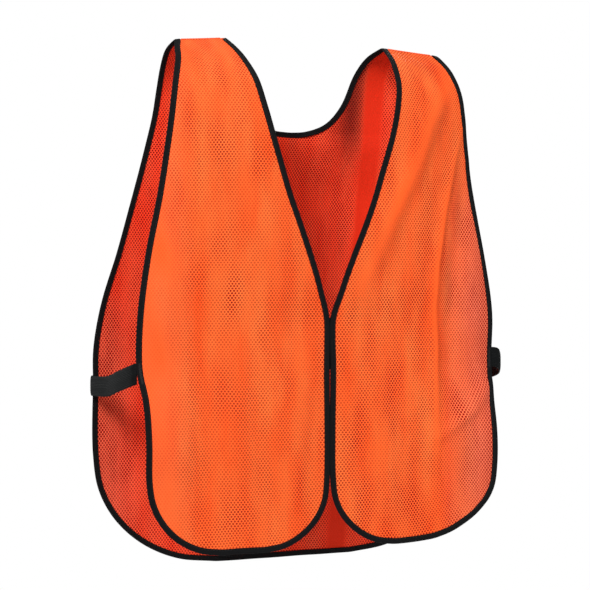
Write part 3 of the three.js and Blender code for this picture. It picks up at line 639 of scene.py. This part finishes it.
def ribbed_material(name, dark, light, rib, cross, roughness):
    """A woven or knitted tape with ribs, its raised yarns painted a little lighter and the grooves
    between them darker: a painted highlight and shade.
    """
    made = bpy.data.materials.new(name)
    made.use_nodes = True
    tree = made.node_tree
    shader = tree.nodes["Principled BSDF"]
    flat = node(tree, "ShaderNodeUVMap", uv_map="cloth").outputs[0]
    ribs = node(tree, "ShaderNodeGroup", node_tree=RIBBED)
    tree.links.new(flat, ribs.inputs["Flat"])
    ribs.inputs["Rib width"].default_value = rib
    ribs.inputs["Cross width"].default_value = cross
    # The colour follows the relief: a painted highlight on the ribs and a painted shade in the grooves.
    colour = node(tree, "ShaderNodeMix", {0: ribs.outputs["Shade"], 6: dark, 7: light},
                  data_type="RGBA")
    tree.links.new(colour.outputs[2], shader.inputs["Base Color"])
    rough = node(tree, "ShaderNodeMapRange", {0: ribs.outputs["Shade"], 3: roughness + 0.12,
                                              4: roughness - 0.08})
    tree.links.new(rough.outputs[0], shader.inputs["Roughness"])
    bump = node(tree, "ShaderNodeBump", {"Height": ribs.outputs["Relief"], "Strength": 0.6,
                                         "Distance": 0.0002})
    tree.links.new(bump.outputs[0], shader.inputs["Normal"])
    shader.inputs["Specular IOR Level"].default_value = 0.09
    return made


black_tape = ribbed_material("black_binding", (0.0015, 0.0017, 0.0022, 1), (0.007, 0.0072, 0.008, 1),
                             0.0011, 0.0007, 0.72)
# The folded tape's outline: how far into the cloth, and how far from its middle.
TAPE_OUTLINE = [(-0.0011, 0), (-0.0009, 0.0007), (-0.0002, 0.0012), (0.0010, 0.0014),
                (0.0027, 0.00125), (0.0042, 0.00125), (0.0046, 0.00105), (0.0050, 0.00125),
                (0.0057, 0.0012), (0.0061, 0.0008)]
TAPE_OUTLINE = TAPE_OUTLINE + [(a, -b) for a, b in TAPE_OUTLINE[:0:-1]]


def swept_grid(centres, across_way, out_way, outline, start=0.0, ease=None):
    """A tube's points from an outline carried along a path. Its last column closes on its first."""
    shape = np.array(outline + outline[:1])
    wide = shape[None, :, 0, None] * across_way[:, None]
    high = shape[None, :, 1, None] * out_way[:, None]
    if ease is not None:
        high = high * ease[:, None, None]
    around = np.concatenate([[0], np.cumsum(np.hypot(*np.diff(shape, axis=0).T))])
    down = start + np.concatenate([[0], np.cumsum(np.linalg.norm(np.diff(centres, axis=0), axis=1))])
    flat = np.stack(np.broadcast_arrays(around[None], down[:, None]), axis=2)
    return centres[:, None] + wide + high, flat


def capped(piece):
    """Closes a tube's open ends and turns its faces outwards."""
    bm = bmesh.new()
    bm.from_mesh(piece.data)
    bmesh.ops.holes_fill(bm, edges=bm.edges, sides=0)
    bmesh.ops.recalc_face_normals(bm, faces=bm.faces)
    bm.to_mesh(piece.data)
    bm.free()
    return piece


def loop_slice(a, b):
    """The places on the closed loop from one cut to the next, both included."""
    return np.arange(a, b + 1 if b > a else b + 1 + len(tape_at)) % len(tape_at)


def puckered(count, seed):
    """The tape is thicker here and thinner there, where the stitching draws it in."""
    return np.array([1 + 0.16 * noise.noise(Vector((k * TAPE_STEP / 0.011, seed, 0)))
                     for k in range(count)])


def stitch_row(name, centres, ways, ups, length, thickness, material):
    """One piece with a short raised thread at each centre, along its way."""
    bm = bmesh.new()
    for q, way, up in zip(centres, ways, ups):
        part = bmesh.ops.create_cube(bm, size=1)["verts"]
        side = np.cross(up, way)
        for v in part:
            long = v.co.x * length
            tuck = -0.5 * thickness if v.co.z < 0 else 0.35 * thickness
            taper = 0.72 if v.co.z > 0 else 1.0
            v.co = q + way * long * taper + side * v.co.y * thickness * taper + up * tuck
    bmesh.ops.recalc_face_normals(bm, faces=bm.faces)
    return finished(name, bm, material)


def thread_material(name, dark, light):
    """Twisted sewing thread, painted lighter on the raised turns of its twist: a painted highlight."""
    made = bpy.data.materials.new(name)
    made.use_nodes = True
    tree = made.node_tree
    shader = tree.nodes["Principled BSDF"]
    place = node(tree, "ShaderNodeTexCoord").outputs["Object"]
    twist = node(tree, "ShaderNodeTexWave", {"Vector": place, "Scale": 700.0, "Distortion": 2.0},
                 bands_direction="DIAGONAL")
    fuzz = node(tree, "ShaderNodeTexNoise", {"Vector": place, "Scale": 900.0})
    tone = node(tree, "ShaderNodeMath", {0: twist.outputs["Fac"], 1: fuzz.outputs["Fac"]},
                operation="MULTIPLY")
    # The raised turns take the lighter colour, a painted highlight.
    colour = node(tree, "ShaderNodeMix", {0: tone.outputs[0], 6: dark, 7: light}, data_type="RGBA")
    tree.links.new(colour.outputs[2], shader.inputs["Base Color"])
    bump = node(tree, "ShaderNodeBump", {"Height": tone.outputs[0], "Strength": 0.4,
                                         "Distance": 0.0001})
    tree.links.new(bump.outputs[0], shader.inputs["Normal"])
    shader.inputs["Roughness"].default_value = 0.65
    shader.inputs["Specular IOR Level"].default_value = 0.3
    return made


black_thread = thread_material("black_thread", (0.003, 0.003, 0.0035, 1), (0.022, 0.022, 0.024, 1))
STITCH_PITCH, STITCH_LENGTH, THREAD = 0.0036, 0.0026, 0.00045
STITCH_INSET, STITCH_STAND = 0.0046, 0.00118


def between(values, steps):
    """Values at places that fall between the steps of a run."""
    base = np.floor(steps).astype(int)
    share = (steps - base)[:, None]
    return values[base % len(values)] * (1 - share) + values[(base + 1) % len(values)] * share


bindings = {}
for name, a, b, nodes_replaced in (
        ("front_binding_cloth_right", cuts[0], cuts[1], ["front_binding_right"]),
        ("neck_binding_cloth", cuts[1], cuts[2], ["neck_binding"]),
        ("front_binding_cloth_left", cuts[2], cuts[3], ["front_binding_left"]),
        ("outer_binding_cloth", cuts[3], cuts[0], ["outer_binding"])):
    here = loop_slice(a, b)
    ease = puckered(len(tape_at), 2.0)[here]
    grid = swept_grid(tape_at[here], tape_in[here], tape_out[here], TAPE_OUTLINE,
                      start=here[0] * TAPE_STEP, ease=ease)
    bindings[name] = capped(sheet_mesh(name, [grid], 0, [black_tape]))
    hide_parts(*nodes_replaced)
    picks = np.arange(0.5 * STITCH_PITCH, (len(here) - 1) * TAPE_STEP, STITCH_PITCH) / TAPE_STEP
    centre, into, out, way = (between(values[here], picks)
                              for values in (tape_at, tape_in, tape_out, tape_way))
    rows = [stitch_row(f"{name}_{face}", centre + into * STITCH_INSET + out * up * STITCH_STAND, way,
                       out * up, STITCH_LENGTH, THREAD, black_thread)
            for face, up in (("outer_stitches", 1), ("inner_stitches", -1))]
    bindings[name + "_stitches"] = rows

for name in ("right", "left"):
    key = f"front_binding_cloth_{name}"
    swing_with_front(bindings[key])
    for row in bindings[key + "_stitches"]:
        swing_with_front(row)
for key in ("neck_binding_cloth", "outer_binding_cloth"):
    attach(bindings[key], "root")
    for row in bindings[key + "_stitches"]:
        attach(row, "root")

# ---- shoulder seams ----
# The front and back are joined at each shoulder by an overlocked seam: a narrow raised ridge of
# orange thread that lies between the two bindings, its loops slanting across it.
orange_thread = thread_material("orange_thread", (0.72, 0.075, 0.02, 1), (1.0, 0.22, 0.08, 1))
SEAM_HALF_WIDTH, SEAM_HALF_HEIGHT, SEAM_STEPS = 0.00150, 0.00085, 70
LOOP_PITCH, LOOP_LENGTH, LOOP_THREAD, LOOP_STAND = 0.0021, 0.0024, 0.0005, 0.00075
SEAM_OUTLINE = [(SEAM_HALF_WIDTH * math.cos(a), SEAM_HALF_HEIGHT * math.sin(a))
                for a in np.linspace(0, math.tau, 14, endpoint=False)]
for name in ("right", "left"):
    top_row = front_grids[name][0][0]
    low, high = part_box(f"shoulder_seam_{name}")
    inside = (top_row[:, 0] > low[0]) & (top_row[:, 0] < high[0])
    seam_at = along(top_row[inside], SEAM_STEPS)
    seam_way = unit(np.gradient(seam_at, axis=0))
    seam_up = np.tile([0.0, 0.0, 1.0], (SEAM_STEPS, 1))
    seam_side = unit(np.cross(seam_up, seam_way))
    seam_up = np.cross(seam_way, seam_side)
    swell = 1 + 0.10 * np.sin(np.arange(SEAM_STEPS) * 2.2)
    ridge = capped(sheet_mesh(f"shoulder_seam_ridge_{name}",
                              [swept_grid(seam_at, seam_side, seam_up, SEAM_OUTLINE, ease=swell)],
                              0, [orange_thread]))
    count = int(np.linalg.norm(seam_at[-1] - seam_at[0]) / LOOP_PITCH)
    over = along(seam_at, count)
    slant = unit(np.tile(seam_side[SEAM_STEPS // 2] + 0.45 * seam_way[SEAM_STEPS // 2], (count, 1)))
    loops = stitch_row(f"shoulder_seam_loops_{name}", over + [0, 0, LOOP_STAND], slant,
                       np.tile([0.0, 0.0, 1.0], (count, 1)), LOOP_LENGTH, LOOP_THREAD,
                       orange_thread)
    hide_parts(f"shoulder_seam_{name}")
    for piece in (ridge, loops):
        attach(piece, "root")

# ---- side elastics ----
# A 25 mm black woven elastic at each side, caught in the front's binding at one end and in the
# back's at the other. It is slack, so it bows outwards, and its ribs run along it.
black_elastic = ribbed_material("black_elastic", (0.0013, 0.002, 0.0022, 1), (0.0055, 0.0065, 0.007, 1),
                                0.0018, 0.0009, 0.68)
ELASTIC_WIDTH, ELASTIC_THICKNESS = 0.025, 0.0014
STRAP_STEPS, STRAP_COLUMNS = 72, 49
# Where each is caught in front and behind, and how far it bows and stands off the edges.
CATCHES = {"right": ((0.2285, -0.0650, -0.410), (0.2565, 0.0740, -0.432)),
           "left": ((0.2285, -0.0637, -0.397), (0.2563, 0.0740, -0.420))}
STRAP_SHAPE = {"right": (0.016, 0.004), "left": (0.030, 0.011)}
straps = {}
for name, sign in (("right", -1), ("left", 1)):
    (bow, lead), (front, rear) = STRAP_SHAPE[name], CATCHES[name]
    fall = rear[2] - front[2]
    strap_path = along(smooth_edge([
        front, (front[0] + lead, front[1] + 0.3 * lead, front[2] + 0.05 * fall),
        (front[0] + bow, -0.0297, front[2] + 0.43 * fall),
        (front[0] + 1.3 * bow, 0.0185, front[2] + 0.83 * fall),
        (rear[0] + 0.9 * lead, rear[1] - 0.9 * lead, rear[2]), rear]), STRAP_STEPS)
    strap_path[:, 0] *= sign
    strap_way = unit(np.gradient(strap_path, axis=0))
    strap_out = unit(np.cross(strap_way, [0.0, 0.0, 1.0])) * sign
    across_strap = np.linspace(-0.5, 0.5, STRAP_COLUMNS)
    ribs = 0.00016 * np.cos(across_strap * math.tau * 12)
    curl = 0.0011 * (2 * across_strap) ** 4
    sag = 0.0016 * np.sin(np.linspace(0, math.pi, STRAP_STEPS))
    points = (strap_path[:, None] + np.array([0, 0, 1.0]) * (across_strap * ELASTIC_WIDTH)[None, :, None]
              + strap_out[:, None] * (ribs - curl)[None, :, None])
    points[..., 2] -= sag[:, None]
    run = np.concatenate([[0], np.cumsum(np.linalg.norm(np.diff(strap_path, axis=0), axis=1))])
    flat = np.stack(np.broadcast_arrays((across_strap * ELASTIC_WIDTH)[None], run[:, None]), axis=2)
    straps[name] = sheet_mesh(f"side_elastic_{name}", [(points, flat)], ELASTIC_THICKNESS,
                              [black_elastic])
    rounding = straps[name].modifiers.new("edge", "BEVEL")
    rounding.width, rounding.segments, rounding.limit_method = 0.0003, 2, "ANGLE"
    middle = strap_path[32]
    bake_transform(straps[name])
    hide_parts(f"side_strap_{name}")

# ---- bar tacks ----
# A dense row of short black stitches fixes each end of an elastic where the binding catches it.
TACK_STITCHES, TACK_LENGTH, TACK_THREAD = 26, 0.0030, 0.0007
TACK_INSET, TACK_STAND = 0.0030, 0.00138
for name, sign in (("right", -1), ("left", 1)):
    for place, catch, body in (("front", CATCHES[name][0], f"front_{name}"),
                               ("back", CATCHES[name][1], "root")):
        middle = np.array(catch) * [sign, 1, 1]
        nearest_step = int(np.argmin(np.linalg.norm(tape_at - middle, axis=1)))
        steps = nearest_step + np.linspace(-0.5, 0.5, TACK_STITCHES) * ELASTIC_WIDTH / TAPE_STEP
        at, into, out = (between(values, steps) for values in (tape_at, tape_in, tape_out))
        zigzag = np.where(np.arange(TACK_STITCHES) % 2, 0.25, -0.25)[:, None]
        lay = unit(into + zigzag * unit(np.gradient(at, axis=0)))
        tack = stitch_row(f"bar_tack_{place}_{name}", at + into * TACK_INSET + out * TACK_STAND, lay,
                          out, TACK_LENGTH, TACK_THREAD, black_thread)
        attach(tack, body)
        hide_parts(f"{place}_tack_{name}")

# ---- front closure ----
# A hook tape sewn behind the right front's edge reaches across the gap, behind the loop tape sewn
# behind the left front's edge. Both are stiff black woven tapes 22 mm wide, faced with hooks or pile.
WOVEN_THICKNESS = 0.0006


def tape_base(name, low, high, step_back, material):
    """A tape with rounded corners that may step back towards its far end."""
    low, high = Vector(low), Vector(high)
    bm = bmesh.new()
    bmesh.ops.create_grid(bm, x_segments=40, y_segments=44, size=0.5)
    flat_layer = bm.loops.layers.uv.new("cloth")
    radius, size = 0.003, high - low
    for v in bm.verts:
        x, z = v.co.x * size.x, v.co.y * size.z
        reach = (abs(x) - (size.x / 2 - radius), abs(z) - (size.z / 2 - radius))
        if min(reach) > 0:
            long = math.hypot(*reach) or 1
            scale = max(reach) / long
            x = math.copysign(size.x / 2 - radius + reach[0] * scale, x)
            z = math.copysign(size.z / 2 - radius + reach[1] * scale, z)
        turn = min(max((x + 0.0039) / 0.0075, 0), 1) if step_back else 0
        v.co = ((low.x + high.x) / 2 + x, low.y + step_back * turn, (low.z + high.z) / 2 + z)
    for f in bm.faces:
        f.smooth = True
        for loop in f.loops:
            loop[flat_layer].uv = (loop.vert.co.x, loop.vert.co.z)
    bmesh.ops.recalc_face_normals(bm, faces=bm.faces)
    piece = finished(name, bm, material)
    walls = piece.modifiers.new("thickness", "SOLIDIFY")
    walls.thickness, walls.offset = WOVEN_THICKNESS, 0
    return piece


black_hook = ribbed_material("hook_and_loop", (0.0015, 0.0016, 0.002, 1), (0.007, 0.007, 0.0075, 1),
                             0.0006, 0.0012, 0.8)
(hook_low, hook_high), (loop_low, loop_high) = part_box("hook_tape"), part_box("loop_tape")
STEP_BACK = hook_high[1] - loop_high[1]
hook_tape = tape_base("hook_tape_woven", (hook_low[0], hook_low[1] + 0.0009, hook_low[2]),
                      (hook_high[0], hook_low[1], hook_high[2]), STEP_BACK, black_hook)
loop_tape = tape_base("loop_tape_woven", (loop_low[0], loop_low[1] + 0.0003, loop_low[2]),
                      (loop_high[0], loop_low[1], loop_high[2]), 0, black_hook)
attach(hook_tape, "front_right")
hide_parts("hook_tape")
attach(loop_tape, "front_left")
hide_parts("loop_tape")

# The hooks: short stems in rows on the part that faces the loop tape.
HOOK_PITCH, HOOK_HEIGHT = 0.0016, 0.0006
face_y = hook_high[1] - 0.0009
hook_bm = bmesh.new()
for x in np.arange(loop_low[0] + 0.002, hook_high[0] - 0.001, HOOK_PITCH):
    for z in np.arange(hook_low[2] + 0.002, hook_high[2] - 0.001, HOOK_PITCH):
        stem = bmesh.ops.create_cone(hook_bm, cap_ends=True, segments=5, radius1=0.00022,
                                     radius2=0.0003, depth=HOOK_HEIGHT)["verts"]
        bmesh.ops.rotate(hook_bm, verts=stem, cent=(0, 0, 0),
                         matrix=Vector((0, 0, 1)).rotation_difference(Vector((0, -1, -0.35))).to_matrix())
        bmesh.ops.translate(hook_bm, verts=stem, vec=(x, face_y - 0.5 * HOOK_HEIGHT, z))
hooks = finished("hooks", hook_bm, black_thread)

# The pile: a low uneven mat of loops on the back of the loop tape.
pile_bm = bmesh.new()
for i, x in enumerate(np.arange(loop_low[0] + 0.0015, loop_high[0] - 0.001, 0.0011)):
    for k, z in enumerate(np.arange(loop_low[2] + 0.0015, loop_high[2] - 0.001, 0.0013)):
        sway = noise.noise_vector(Vector((i * 1.7, k * 1.3, 5.0)))
        tuft = bmesh.ops.create_icosphere(pile_bm, subdivisions=1, radius=0.0006)["verts"]
        bmesh.ops.scale(pile_bm, verts=tuft, vec=(1.0, 0.55, 1.2))
        bmesh.ops.translate(pile_bm, verts=tuft, vec=(x + 0.0003 * sway.x, loop_low[1] + 0.0008,
                                                      z + 0.0003 * sway.z))
pile = finished("pile", pile_bm, black_thread)
for piece, body in ((hooks, "front_right"), (pile, "front_left")):
    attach(piece, body)
